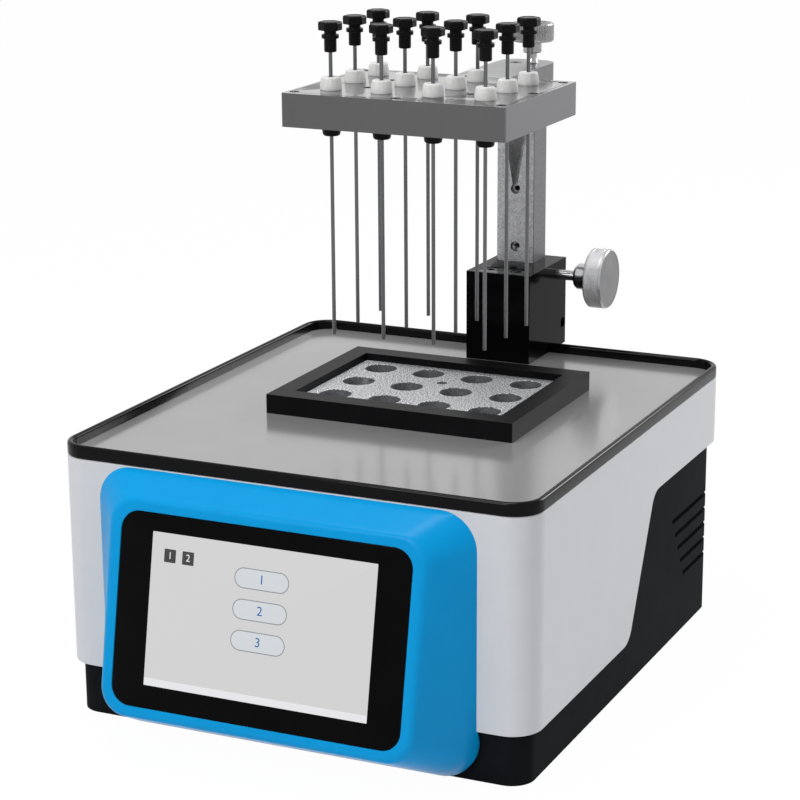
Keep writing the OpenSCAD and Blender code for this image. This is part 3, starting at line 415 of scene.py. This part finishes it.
display = {
    "middleX": -1.3, "bezelWidth": 205.7, "bezelHeight": 136.0, "bezelCorner": 19.0,
    "faceWidth": 169.0, "faceHeight": 108.6, "faceCorner": 14.0, "tilt": 11.1, "reach": 38.1,
    "drop": 118.4, "shellFront": 146.1, "baseFront": 142.1, "topGap": 2.2, "shellLow": 112.4,
    "edgeRound": 2.8, "glassWidth": 157.3, "glassHeight": 97.4, "glassCorner": 10.0,
    "openingWidth": 127.8, "openingHeight": 82.9, "openingCorner": 0.6,
    "wall": 4, "seatDepth": 2, "openingDepth": 8,
}


def onFace(u, v, out):
    # a point of the leaning face: u to the right, v up its slope from its lower edge, out of it; mm to metres
    d = display
    t = math.radians(d["tilt"])
    u, v, out = np.broadcast_arrays(u, v, out)
    x = d["middleX"] + u
    y = -(d["shellFront"] + d["reach"]) + v * math.sin(t) - out * math.cos(t)
    z = -d["drop"] + v * math.cos(t) + out * math.sin(t)
    return np.stack([x, y + middleY, z + plateZ], -1) * mm


def onShell(u, v, y):
    # a point in an upright plane at y, u and v measured from the bezel's middle; mm to metres
    d = display
    u, v, y = np.broadcast_arrays(u, v, y)
    z = -d["topGap"] - d["bezelHeight"] / 2 + v
    return np.stack([d["middleX"] + u, y + middleY, z + plateZ], -1) * mm


def makeBezel(d):
    # a tube of rounded outlines: from the shell out to the face, round its edge, down the glass seat, back inside
    mid = d["faceHeight"] / 2
    back = roundedOutline(d["bezelWidth"], d["bezelHeight"], d["bezelCorner"])
    front = roundedOutline(d["faceWidth"], d["faceHeight"], d["faceCorner"])
    opening = roundedOutline(d["openingWidth"], d["openingHeight"], d["openingCorner"])
    hollow = roundedOutline(d["faceWidth"] - 2 * d["wall"], d["faceHeight"] - 2 * d["wall"], 2)
    low = -d["topGap"] - d["bezelHeight"] / 2 + back[:, 1] < -d["shellLow"] - 0.4
    rows = [onShell(back[:, 0], back[:, 1], np.where(low, -d["baseFront"], -d["shellFront"]))]
    base = onShell(back[:, 0], back[:, 1], -d["shellFront"])
    sharp = onFace(front[:, 0], front[:, 1] + mid, 0)
    inward = onFace(front[:, 0] * 0.9, front[:, 1] * 0.9 + mid, 0) - sharp
    inward /= np.linalg.norm(inward, axis=1)[:, None]
    side = sharp - base
    side /= np.linalg.norm(side, axis=1)[:, None]
    r = d["edgeRound"] * mm
    for t in (0, 0.25, 0.5, 0.75):
        rows.append(base * (1 - t) + (sharp - side * r) * t)
    for t in np.linspace(0, 1, 9):
        # rounded edge: a curve drawn towards the sharp corner
        rows.append((1 - t) ** 2 * (sharp - side * r) + 2 * t * (1 - t) * sharp + t ** 2 * (sharp + inward * r))
    for grow, out in ((0.5, 0), (0.15, -0.05), (0, -0.25), (0, -d["seatDepth"])):
        w = roundedOutline(d["glassWidth"] + 0.2 + 2 * grow, d["glassHeight"] + 0.2 + 2 * grow,
                           d["glassCorner"] + 0.1 + grow)
        rows.append(onFace(w[:, 0], w[:, 1] + mid, out))
    rows.append(onFace(opening[:, 0], opening[:, 1] + mid, -d["seatDepth"]))
    rows.append(onFace(opening[:, 0], opening[:, 1] + mid, -d["openingDepth"]))
    rows.append(onFace(hollow[:, 0], hollow[:, 1] + mid, -d["openingDepth"]))
    rows.append(onShell(hollow[:, 0], hollow[:, 1] * 0.96 - 3, -d["shellFront"]))
    faces = gridFaces(len(rows), len(back), closeRows=True)
    bezel = addPiece("display_bezel_moulding", np.concatenate(rows), faces, finishes["bezelBlue"], "housing",
                     40)
    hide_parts("display_bezel")


def roundedSlab(name, width, height, corner, middle, low, high, material, bevel=0.3):
    # a flat slab on the leaning face: outlines from the middle of its back, round its edge, to the middle of its front
    u0, v0 = middle
    rows = []
    for shrink, out in ((None, low), (0, low), (0, high - bevel), (bevel * 0.3, high - bevel * 0.3), (bevel, high),
                        (None, high)):
        if shrink is None:
            o = roundedOutline(width, height, corner) * 0.02
        else:
            o = roundedOutline(width - 2 * shrink, height - 2 * shrink, max(0.05, corner - shrink))
        rows.append(onFace(o[:, 0] + u0, o[:, 1] + v0, out))
    n = len(rows[0])
    faces = gridFaces(len(rows), n).tolist()
    faces += [list(range(n))[::-1], list(range(n * (len(rows) - 1), n * len(rows)))]
    return addPiece(name, np.concatenate(rows), faces, material, "housing", 30)


def figureOn(name, text, size, middle, out, material):
    # a plain number as a thin mesh on the leaning face
    curve = bpy.data.curves.new(name, "FONT")
    curve.body, curve.size = text, size * mm
    curve.align_x, curve.align_y = "CENTER", "CENTER"
    curve.extrude = 0.004 * mm
    holder = bpy.data.objects.new(name + "_text", curve)
    bpy.context.scene.collection.objects.link(holder)
    bpy.context.view_layer.update()
    mesh = bpy.data.meshes.new_from_object(holder)
    bpy.data.objects.remove(holder)
    pts = np.zeros(len(mesh.vertices) * 3, np.float32)
    mesh.vertices.foreach_get("co", pts)
    pts = pts.reshape(-1, 3) / mm
    moved = onFace(pts[:, 0] + middle[0], pts[:, 1] + middle[1], pts[:, 2] + out)
    mesh.vertices.foreach_set("co", moved.astype(np.float32).ravel())
    mesh.update()
    return placePiece(name, mesh, material, "housing", 30)


def makeDisplay(d):
    # the glass, and on it the picture in layers, each a hair above the last
    glass = roundedSlab("touch_glass_panel", d["glassWidth"], d["glassHeight"], d["glassCorner"],
                        (0, d["faceHeight"] / 2), -2, -0.2, finishes["glassBlack"])
    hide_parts("touch_glass")
    lit = -0.17
    roundedSlab("picture_area", 121.6, 76.7, 0.3, (0.1, 55.7), -0.21, lit, finishes["picture"], 0.01)
    roundedSlab("picture_strip", 121.4, 3.6, 0.1, (0.1, 19.3), lit - 0.01, lit + 0.015, finishes["pictureStrip"],
                0.005)
    for i, u in enumerate((-50.5, -40.5)):
        roundedSlab(f"picture_square_{i + 1}", 6.4, 6.6, 0.3, (u, 83.0), lit - 0.01, lit + 0.02,
                    finishes["pictureDark"], 0.005)
        figureOn(f"picture_square_figure_{i + 1}", str(i + 1), 5, (u, 83.0), lit + 0.03, finishes["keyLight"])
    for i, v in enumerate((77.8, 62.5, 47.2)):
        roundedSlab(f"picture_key_rim_{i + 1}", 29.6, 10.2, 5.05, (0.3, v), lit - 0.01, lit + 0.02,
                    finishes["keyRim"], 0.005)
        roundedSlab(f"picture_key_{i + 1}", 28.6, 9.2, 4.55, (0.3, v), lit + 0.01, lit + 0.04,
                    finishes["keyFace"], 0.01)
        figureOn(f"picture_key_figure_{i + 1}", str(i + 1), 6.5, (0.3, v), lit + 0.05, finishes["keyFigure"])


makeBezel(display)
makeDisplay(display)
print("display made")

# node, its finish, and the width of its rounded edges in mm
head = [
    ("post", "postMetal", 0.0), ("arm", "armMetal", 0.4), ("arm_screws", "screwDark", 0.15),
    ("manifold_body", "headMetal", 0.0), ("manifold_cover", "headMetal", 0.0), ("manifold_gasket", "rubber", 0.0),
    ("manifold_screws", "screwDark", 0.1), ("gas_inlet", "brass", 0.1), ("gland_nuts", "capBlack", 0.2),
]
for node, look, bevel in head:
    dress(node, finishes[look], bevel)
for i in range(1, 13):
    dress(f"needle_tube_{i}", finishes["needleSteel"], 0.0)
print("head dressed")


def lathe(profile, around, shape=None):
    # radius and height along a profile, swung round; shape gives each row and angle a factor on the radius
    rows = np.array(profile, float)
    a = np.linspace(0, 2 * np.pi, around, endpoint=False)
    factor = np.ones((len(rows), around)) if shape is None else shape(rows, a)
    radius = np.maximum(rows[:, :1] * factor, 1e-4)
    pts = np.stack([radius * np.cos(a), radius * np.sin(a), np.broadcast_to(rows[:, 1:2], radius.shape)], -1)
    faces = gridFaces(len(rows), around).tolist()
    faces += [list(range(around))[::-1], [(len(rows) - 1) * around + k for k in range(around)]]
    return pts.reshape(-1, 3), faces


collar = {"height": 6.7, "flutes": 14, "fluteDepth": 0.035, "around": 84}


def makeCollars(c):
    # twelve barrels in one piece; shallow flutes are cut into the upper half of each
    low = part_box("needle_collars")[0].z / mm
    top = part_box("needle_collars")[1].z / mm
    seat = top - c["height"]
    profile = [(1.1, low), (3.98, low), (3.98, seat), (5.45, seat), (5.6, seat + 0.15), (5.64, seat + 0.6),
               (5.66, seat + 1.6), (5.6, seat + 2.6), (5.45, seat + 3.7), (5.3, seat + 4.6), (5.15, seat + 5.3),
               (5.02, seat + 5.9), (4.85, seat + 6.35), (4.6, seat + 6.6), (4.3, seat + 6.7), (1.9, seat + 6.7),
               (1.45, seat + 6.55), (1.1, seat + 6.2)]

    def flutes(rows, a):
        share = np.clip((rows[:, 1:2] - seat - 2.2) / 3.0, 0, 1) * (rows[:, :1] > 2.5)
        return 1 - c["fluteDepth"] * share * np.clip(np.sin(c["flutes"] * a), 0, 1) ** 2

    one, face = lathe(profile, c["around"], flutes)
    face = np.array(face[:-2]).reshape(-1, 4)
    # the bore is closed by joining the last row back to the first
    n, m = c["around"], len(profile)
    k = np.arange(n)
    face = np.concatenate([face, np.stack([(m - 1) * n + k, (m - 1) * n + (k + 1) % n, (k + 1) % n, k], -1)])
    pts, faces = [], []
    for i in range(12):
        a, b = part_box(f"needle_tube_{i + 1}")
        pts.append(one * mm + np.array([(a.x + b.x) / 2, (a.y + b.y) / 2, 0]))
        faces.append(face + i * len(one))
    piece = addPiece("needle_collars_fluted", np.concatenate(pts), np.concatenate(faces).tolist(),
                     finishes["whitePlastic"], "head", 40)
    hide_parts("needle_collars")


cap = {"height": 15.7, "grip": 4.6, "across": 11.2, "around": 96, "bore": 6.0}


def makeCap(c, i):
    # a turned barrel with a flange and a neck; the grip's radius follows a hexagon with rounded corners
    low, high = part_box(f"needle_cap_{i}")
    z = low.z / mm
    neck = c["height"] - c["grip"]
    flat = c["across"] / 2
    profile = [(1.0, z + c["bore"]), (1.0, z), (2.8, z), (3.05, z + 0.12), (3.22, z + 0.5), (3.25, z + 1.0),
               (3.25, z + neck - 4.3), (3.25, z + neck - 4.12), (4.3, z + neck - 4.1), (4.48, z + neck - 3.9),
               (4.5, z + neck - 3.6), (4.5, z + neck - 2.5), (4.46, z + neck - 2.2), (4.3, z + neck - 2.0),
               (3.2, z + neck - 1.98), (3.15, z + neck - 1.7), (3.15, z + neck - 0.1), (5.1, z + neck),
               (5.5, z + neck + 0.15), (flat, z + neck + 0.5), (flat, z + neck + 3.4), (flat - 0.08, z + neck + 4.0),
               (flat - 0.35, z + neck + 4.4), (flat - 0.8, z + neck + 4.6), (3.9, z + neck + 4.6),
               (3.7, z + neck + 4.5), (0.6, z + neck + 4.5)]

    def hexagon(rows, a):
        turn = np.mod(a + np.pi / 6, np.pi / 3) - np.pi / 6
        corner = np.minimum(1 / np.cos(turn), 1.115)
        grip = (rows[:, 1:2] > z + neck - 0.05) * np.clip((rows[:, :1] - 3.9) / 1.2, 0, 1)
        return 1 + grip * (corner - 1)[None, :]

    pts, faces = lathe(profile, c["around"], hexagon)
    pts = pts * mm + np.array([(low.x + high.x) / 2, (low.y + high.y) / 2, 0])
    piece = addPiece(f"needle_cap_{i}_moulded", pts, faces, finishes["capBlack"], f"needle_{i}", 38)
    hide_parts(f"needle_cap_{i}")


makeCollars(collar)
for i in range(1, 13):
    makeCap(cap, i)
print("collars and caps made")


def turned(name, profile, knurl, axis, centre, material, body, around=360):
    # a lathe form whose marked rows carry a knurl: two crossing sets of grooves, or one set of straight ones
    marked = np.array([k for _, _, k in profile], float)[:, None]
    n, slope, depth = knurl

    def grooves(rows, a):
        one = np.abs(np.sin(n * a / 2 + slope * rows[:, 1:2]))
        two = np.abs(np.sin(n * a / 2 - slope * rows[:, 1:2]))
        cut = np.maximum(1 - one * 1.4, 1 - two * 1.4).clip(0, 1) if slope else 1 - one
        return 1 - marked * depth * cut / rows[:, :1]

    pts, faces = lathe([(r, h) for r, h, _ in profile], around, grooves)
    if axis == "x":
        pts = pts[:, [2, 0, 1]]
    return addPiece(name, pts * mm + np.array(centre), faces, material, body, 40)


def knurledRows(r, low, high, edge, count):
    # profile rows of a knurled rim with a small bevel at each end
    rows = [(r - edge, low, 0), (r - 0.15, low + edge * 0.75, 0), (r - 0.05, low + edge, 0.3)]
    rows += [(r, h, 1) for h in np.linspace(low + edge + 0.15, high - edge - 0.15, count)]
    rows += [(r - 0.05, high - edge, 0.3), (r - 0.15, high - edge * 0.75, 0), (r - edge, high, 0)]
    return rows


clampKnob = {"radius": 17.2, "thickness": 10.8, "boss": 9.9, "teeth": 84, "slope": 2.2, "cut": 0.4}


def makeClampKnob(c):
    # screw, boss and a wheel with a diamond knurl; its end face lies a little inside the rim
    low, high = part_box("clamp_knob")
    x0, x1 = low.x / mm, high.x / mm
    drum = x1 - c["thickness"]
    boss = drum - c["boss"]
    r = c["radius"]
    rows = [(0.4, x0, 0), (2.4, x0, 0), (3, x0 + 0.6, 0), (3, boss - 0.3, 0), (3.0, boss, 0), (5.8, boss + 0.1, 0),
            (6.3, boss + 0.4, 0), (7.5, boss + 1.9, 0), (7.65, boss + 2.4, 0), (7.65, drum - 0.3, 0), (7.9, drum, 0)]
    rows += [(12, drum, 0)] + knurledRows(r, drum, x1, 0.8, 34)
    rows += [(r - 1.7, x1, 0), (r - 2.0, x1 - 0.12, 0), (r - 2.3, x1 - 0.12, 0), (0.4, x1 - 0.12, 0)]
    centre = (0, (low.y + high.y) / 2, (low.z + high.z) / 2)
    knob = turned("clamp_knob_turned", rows, (c["teeth"], c["slope"], c["cut"]), "x", centre,
                  finishes["knobMetal"], "clamp_knob", around=c["teeth"] * 6)
    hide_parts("clamp_knob")


thumbKnob = {"radius": 12.25, "thickness": 10.3, "neck": 5.8, "boss": 6.5, "teeth": 72, "cut": 0.3}


def makeThumbscrew(c):
    # screw, cone, boss and a straight-knurled wheel with a dish in its top
    low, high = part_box("arm_thumbscrew")
    z0, z1 = low.z / mm, high.z / mm
    wheel = z1 - c["thickness"]
    boss = wheel - c["boss"]
    armTop = boss - c["neck"]
    rows = [(0.4, z0, 0), (2.1, z0, 0), (2.5, z0 + 0.5, 0), (2.5, armTop - 0.02, 0), (3.7, armTop + 0.01, 0),
            (2.75, armTop + 1.6, 0), (2.7, boss - 0.1, 0), (4.9, boss, 0), (5.3, boss + 0.4, 0),
            (5.3, wheel - 0.3, 0), (5.6, wheel, 0)]
    rows += [(9, wheel, 0)] + knurledRows(c["radius"], wheel, z1, 0.7, 6)
    rows += [(10.6, z1, 0), (10.2, z1 - 0.3, 0), (8.9, z1 - 1.35, 0), (8.6, z1 - 1.4, 0), (0.4, z1 - 1.4, 0)]
    centre = ((low.x + high.x) / 2, (low.y + high.y) / 2, 0)
    knob = turned("arm_thumbscrew_turned", rows, (c["teeth"], 0, c["cut"]), "z", centre,
                  finishes["thumbMetal"], "arm_thumbscrew", around=c["teeth"] * 6)
    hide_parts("arm_thumbscrew")


makeClampKnob(clampKnob)
makeThumbscrew(thumbKnob)
print("knobs made")

room = {"floorSize": 6.0, "floorColour": (232, 232, 232), "floorWhite": 0.98, "air": 0.33}


def whiteSeen(tree, strength):
    # 1 for rays from the camera, for mirrored rays and for rays through glass, times a strength
    add, join = tree.nodes.new, tree.links.new
    rays = add("ShaderNodeLightPath")
    value = rays.outputs["Is Camera Ray"]
    for other in (rays.outputs["Is Glossy Ray"], rays.outputs["Is Transmission Ray"]):
        most = add("ShaderNodeMath")
        most.operation = "MAXIMUM"
        join(value, most.inputs[0])
        join(other, most.inputs[1])
        value = most.outputs["Value"]
    share = add("ShaderNodeMath")
    share.operation = "MULTIPLY"
    share.inputs[1].default_value = strength
    join(value, share.inputs[0])
    return share.outputs["Value"]


def addFloor(r):
    # a pale floor that keeps the object's shadow and shows white
    s = r["floorSize"]
    mesh = bpy.data.meshes.new("floor")
    mesh.from_pydata([(-s, -s, 0), (s, -s, 0), (s, s, 0), (-s, s, 0)], [], [(0, 1, 2, 3)])
    floor = bpy.data.objects.new("floor", mesh)
    bpy.context.scene.collection.objects.link(floor)
    m = bpy.data.materials.new("pale floor")
    m.use_nodes = True
    tree = m.node_tree
    add, join = tree.nodes.new, tree.links.new
    shader = tree.nodes["Principled BSDF"]
    shader.inputs["Base Color"].default_value = linear(r["floorColour"])
    shader.inputs["Roughness"].default_value = 0.8
    shader.inputs["Specular IOR Level"].default_value = 0.1
    white = add("ShaderNodeEmission")
    white.inputs["Strength"].default_value = 1.0
    blend = add("ShaderNodeMixShader")
    join(whiteSeen(tree, r["floorWhite"]), blend.inputs["Fac"])
    join(shader.outputs["BSDF"], blend.inputs[1])
    join(white.outputs["Emission"], blend.inputs[2])
    join(blend.outputs["Shader"], tree.nodes["Material Output"].inputs["Surface"])
    mesh.materials.append(m)


def addWorld(r):
    # a soft grey room lights the object; the camera, metal and glass see a white backdrop
    world = bpy.data.worlds.new("studio")
    bpy.context.scene.world = world
    world.use_nodes = True
    tree = world.node_tree
    add, join = tree.nodes.new, tree.links.new
    air = tree.nodes["Background"]
    air.inputs["Color"].default_value = (1, 1, 1, 1)
    air.inputs["Strength"].default_value = r["air"]
    white = add("ShaderNodeBackground")
    white.inputs["Color"].default_value = (1, 1, 1, 1)
    white.inputs["Strength"].default_value = 1.0
    blend = add("ShaderNodeMixShader")
    join(whiteSeen(tree, 1.0), blend.inputs["Fac"])
    join(air.outputs["Background"], blend.inputs[1])
    join(white.outputs["Background"], blend.inputs[2])
    join(blend.outputs["Shader"], tree.nodes["World Output"].inputs["Surface"])


def addLamp(name, place, aim, size, power):
    # a soft box that faces its aim
    data = bpy.data.lights.new(name, "AREA")
    data.shape, data.size, data.size_y = "RECTANGLE", size[0], size[1]
    data.energy = power
    lamp = bpy.data.objects.new(name, data)
    bpy.context.scene.collection.objects.link(lamp)
    lamp.location = place
    lamp.rotation_euler = (Vector(aim) - Vector(place)).to_track_quat("-Z", "Y").to_euler()


addFloor(room)
addWorld(room)
addLamp("key", (-0.4, -1.8, 1.35), (0, 0, 0.15), (0.9, 0.7), 20)
addLamp("rear", (1.0, 1.5, 0.95), (0, 0, 0.15), (0.9, 0.9), 21)
addLamp("top", (-0.2, -0.3, 1.9), (0, 0, 0.1), (0.9, 0.9), 25)
bpy.context.scene.view_settings.view_transform = "Standard"
print("room lit")
